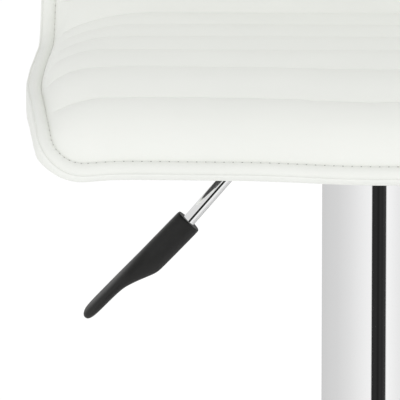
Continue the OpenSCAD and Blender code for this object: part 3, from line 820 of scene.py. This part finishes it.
class STOOL_OT_metalwork(bpy.types.Operator):
    """Finishes for the column, pedestal, footrest, lift and lever parts"""

    bl_idname = "stool.metalwork"
    bl_label = "Metal and plastic finishes"

    def execute(self, context):
        black = finish("Black nylon", (0.022, 0.022, 0.022), (0.014, 0.014, 0.014), (0.4, 0.55),
                       pebble=0.5, patch=12, bump=0.25)
        rubber = finish("Black rubber", (0.02, 0.02, 0.02), (0.013, 0.013, 0.013), (0.7, 0.85),
                        pebble=0.6, patch=15, bump=0.4)
        primer = finish("Grey primer", (0.18, 0.18, 0.19), (0.13, 0.13, 0.14), (0.5, 0.7), pebble=1.0,
                        patch=30, bump=0.25)
        zinc = finish("Zinc plate", (0.62, 0.63, 0.65), (0.5, 0.51, 0.54), (0.25, 0.42), metallic=1.0,
                      pebble=0.8, patch=6, bump=0.1)
        steel = finish("Ground steel", (0.72, 0.72, 0.72), (0.62, 0.62, 0.62), (0.16, 0.28),
                       metallic=1.0, pebble=0.6, patch=20, bump=0.08, stretch=(1, 1, 6))
        enamel = finish("Black enamel", (0.02, 0.02, 0.021), (0.013, 0.013, 0.014), (0.18, 0.3),
                        pebble=1.2, patch=30, bump=0.06, coat=0.3)
        powder = finish("Black powder coat", (0.03, 0.03, 0.031), (0.02, 0.02, 0.02), (0.42, 0.58),
                        pebble=0.7, patch=25, bump=0.35)
        brass = finish("Turned brass", (0.75, 0.56, 0.26), (0.6, 0.43, 0.18), (0.2, 0.34), metallic=1.0,
                       pebble=0.5, patch=8, bump=0.1)
        by_slot = {"rubber": rubber, "ballast": primer, "chrome": chrome(), "tube_steel": chrome(),
                   "bright_steel": steel, "zinc": zinc, "black_plastic": black, "brass": brass,
                   "cylinder_black": enamel, "bracket_black": powder}
        slots = {s["node"]: s["material_slot"] for s in frame["record"]["subparts"]}
        for node, obj in frame["nodes"].items():
            material = by_slot.get(slots.get(node))
            if material is None:
                continue
            for held in obj.material_slots:
                held.material = material
        return {"FINISHED"}


class STOOL_OT_studio(bpy.types.Operator):
    """Pale floor, soft studio light, a shaded screen round the chrome, and the camera"""

    bl_idname = "stool.studio"
    bl_label = "Studio"

    def execute(self, context):
        p = context.scene.stool_stage
        scene = context.scene
        scene.view_settings.view_transform = "Standard"
        scene.view_settings.look = "None"
        self.world(scene, p)
        self.floor()
        self.drum()
        self.camera(scene, p)
        return {"FINISHED"}

    def world(self, scene, p):
        """A wrap-round studio: bright in front, softer overhead and behind."""
        world = bpy.data.worlds.new("Studio")
        scene.world = world
        world.use_nodes = True
        nodes, links = world.node_tree.nodes, world.node_tree.links
        where = nodes.new("ShaderNodeTexCoord")
        parts = nodes.new("ShaderNodeSeparateXYZ")
        links.new(where.outputs["Generated"], parts.inputs[0])
        depth = nodes.new("ShaderNodeMapRange")
        depth.interpolation_type = "SMOOTHSTEP"
        depth.inputs["From Min"].default_value = 0.95
        depth.inputs["From Max"].default_value = -0.95
        depth.inputs["To Min"].default_value = p.back_light
        depth.inputs["To Max"].default_value = p.front_light
        links.new(parts.outputs["Y"], depth.inputs["Value"])
        over = nodes.new("ShaderNodeMapRange")
        over.inputs["From Min"].default_value = 0.3
        over.inputs["From Max"].default_value = 1.0
        links.new(parts.outputs["Z"], over.inputs["Value"])
        mix = nodes.new("ShaderNodeMix")
        mix.data_type = "FLOAT"
        mix.inputs["B"].default_value = p.top_light
        links.new(over.outputs["Result"], mix.inputs["Factor"])
        links.new(depth.outputs["Result"], mix.inputs["A"])
        path = nodes.new("ShaderNodeLightPath")
        seen = nodes.new("ShaderNodeMix")
        seen.data_type = "FLOAT"
        seen.inputs["B"].default_value = 1.05
        links.new(path.outputs["Is Camera Ray"], seen.inputs["Factor"])
        links.new(mix.outputs["Result"], seen.inputs["A"])
        ground = nodes["Background"]
        ground.inputs["Color"].default_value = (1, 1, 1, 1)
        links.new(seen.outputs["Result"], ground.inputs["Strength"])

    def floor(self):
        size = 60.0
        mesh = bpy.data.meshes.new("floor")
        mesh.from_pydata([(-size, -size, 0), (size, -size, 0), (size, size, 0), (-size, size, 0)], [],
                         [(0, 1, 2, 3)])
        floor = bpy.data.objects.new("floor", mesh)
        bpy.context.scene.collection.objects.link(floor)
        mat = bpy.data.materials.new("Pale floor")
        mat.use_nodes = True
        shader = mat.node_tree.nodes["Principled BSDF"]
        shader.inputs["Base Color"].default_value = (0.9, 0.9, 0.9, 1)
        shader.inputs["Roughness"].default_value = 0.9
        shader.inputs["Specular IOR Level"].default_value = 0.0
        shader.inputs["Emission Color"].default_value = (1, 1, 1, 1)
        shader.inputs["Emission Strength"].default_value = 0.3
        mesh.materials.append(mat)

    def drum(self):
        """A tall round screen seen only in reflections: pale, shaded round, with dark strips."""
        stops = (
            (-180, 0.60), (-134, 0.64), (-91, 0.68), (-61, 0.755), (-43, 0.82), (-26, 0.88),
            (-15.2, 0.91), (-14.2, 0.024), (-6, 0.026), (-2, 0.014), (2, 0.030), (6, 0.023),
            (10, 0.040), (13.2, 0.036), (14.2, 0.96), (22, 0.91), (39, 0.84), (70, 0.76), (97, 0.70),
            (98, 0.05), (108, 0.05), (109, 0.66), (165, 0.60), (166, 0.06), (176, 0.06), (177, 0.60))
        mat = bpy.data.materials.new("Shaded screen")
        mat.use_nodes = True
        nodes, links = mat.node_tree.nodes, mat.node_tree.links
        shader = nodes["Principled BSDF"]
        shader.inputs["Base Color"].default_value = (0, 0, 0, 1)
        shader.inputs["Specular IOR Level"].default_value = 0.0
        shader.inputs["Emission Strength"].default_value = 1.0
        where = nodes.new("ShaderNodeTexCoord")
        parts = nodes.new("ShaderNodeSeparateXYZ")
        links.new(where.outputs["Object"], parts.inputs[0])
        forward = nodes.new("ShaderNodeMath")
        forward.operation = "MULTIPLY"
        forward.inputs[1].default_value = -1.0
        links.new(parts.outputs["Y"], forward.inputs[0])
        angle = nodes.new("ShaderNodeMath")
        angle.operation = "ARCTAN2"
        links.new(parts.outputs["X"], angle.inputs[0])
        links.new(forward.outputs[0], angle.inputs[1])
        share = nodes.new("ShaderNodeMapRange")
        share.inputs["From Min"].default_value = -math.pi
        share.inputs["From Max"].default_value = math.pi
        links.new(angle.outputs[0], share.inputs["Value"])
        ramp = nodes.new("ShaderNodeValToRGB")
        elements = ramp.color_ramp.elements
        elements.remove(elements[1])
        for k, (degrees, value) in enumerate(stops):
            place = (degrees + 180) / 360
            element = elements[0] if k == 0 else elements.new(place)
            element.position = place
            element.color = (value, value, value, 1)
        links.new(share.outputs["Result"], ramp.inputs["Fac"])
        height = nodes.new("ShaderNodeMapRange")
        height.interpolation_type = "SMOOTHSTEP"
        height.inputs["From Min"].default_value = 0.46
        height.inputs["From Max"].default_value = 0.6
        links.new(parts.outputs["Z"], height.inputs["Value"])
        plain = nodes.new("ShaderNodeMix")
        plain.data_type = "RGBA"
        plain.inputs["B"].default_value = (0.74, 0.74, 0.74, 1)
        links.new(height.outputs["Result"], plain.inputs["Factor"])
        links.new(ramp.outputs["Color"], plain.inputs["A"])
        links.new(plain.outputs["Result"], shader.inputs["Emission Color"])
        n, r, low, high = 96, 1.25, 0.004, 3.4
        ring = [(r * math.cos(2 * math.pi * k / n), r * math.sin(2 * math.pi * k / n)) for k in range(n)]
        mesh = bpy.data.meshes.new("screen")
        inner = [(0.26 * x / r, 0.26 * y / r) for x, y in ring]
        points = [(x, y, low) for x, y in inner] + [(x, y, z) for z in (low, high) for x, y in ring]
        faces = [(row * n + (k + 1) % n, row * n + k, (row + 1) * n + k, (row + 1) * n + (k + 1) % n)
                 for row in (0, 1) for k in range(n)]
        mesh.from_pydata(points, [], faces)
        screen = bpy.data.objects.new("screen", mesh)
        bpy.context.scene.collection.objects.link(screen)
        mesh.materials.append(mat)
        screen.visible_camera = screen.visible_diffuse = screen.visible_shadow = False
        screen.visible_transmission = False

    def camera(self, scene, p):
        data = bpy.data.cameras.new("Camera")
        data.lens = p.lens
        data.sensor_width = 36.0
        data.clip_start, data.clip_end = 0.1, 200.0
        camera = bpy.data.objects.new("Camera", data)
        scene.collection.objects.link(camera)
        camera.location = (0.0, -3.4569, 1.0675)
        aim = Vector((-0.1062, 0.0, 0.52)) - camera.location
        camera.rotation_euler = aim.to_track_quat("-Z", "Y").to_euler()
        scene.camera = camera


class STOOL_PT_panel(bpy.types.Panel):
    """Lists the stool's pieces and their sizes"""

    bl_label = "Swivel stool"
    bl_idname = "STOOL_PT_panel"
    bl_space_type = "VIEW_3D"
    bl_region_type = "UI"
    bl_category = "Stool"

    def draw(self, context):
        for props in (context.scene.stool_seat, context.scene.stool_lever, context.scene.stool_stage):
            box = self.layout.box()
            for name in props.bl_rna.properties.keys():
                if name not in {"rna_type", "name"}:
                    box.prop(props, name)
        for operator in OPERATORS:
            self.layout.operator(operator.bl_idname)


OPERATORS = (STOOL_OT_studio, STOOL_OT_metalwork, STOOL_OT_cover, STOOL_OT_border, STOOL_OT_stitches,
             STOOL_OT_back_cover, STOOL_OT_paddle, STOOL_OT_rod)
CLASSES = (StoolSeatProps, StoolLeverProps, StoolStageProps, *OPERATORS, STOOL_PT_panel)


def register():
    for cls in CLASSES:
        bpy.utils.register_class(cls)
    bpy.types.Scene.stool_seat = bpy.props.PointerProperty(type=StoolSeatProps)
    bpy.types.Scene.stool_lever = bpy.props.PointerProperty(type=StoolLeverProps)
    bpy.types.Scene.stool_stage = bpy.props.PointerProperty(type=StoolStageProps)


def unregister():
    for name in ("stool_seat", "stool_lever", "stool_stage"):
        delattr(bpy.types.Scene, name)
    for cls in reversed(CLASSES):
        bpy.utils.unregister_class(cls)


def main():
    register()
    for operator in OPERATORS:
        group, name = operator.bl_idname.split(".")
        getattr(getattr(bpy.ops, group), name)()


if __name__ == "__main__":
    main()
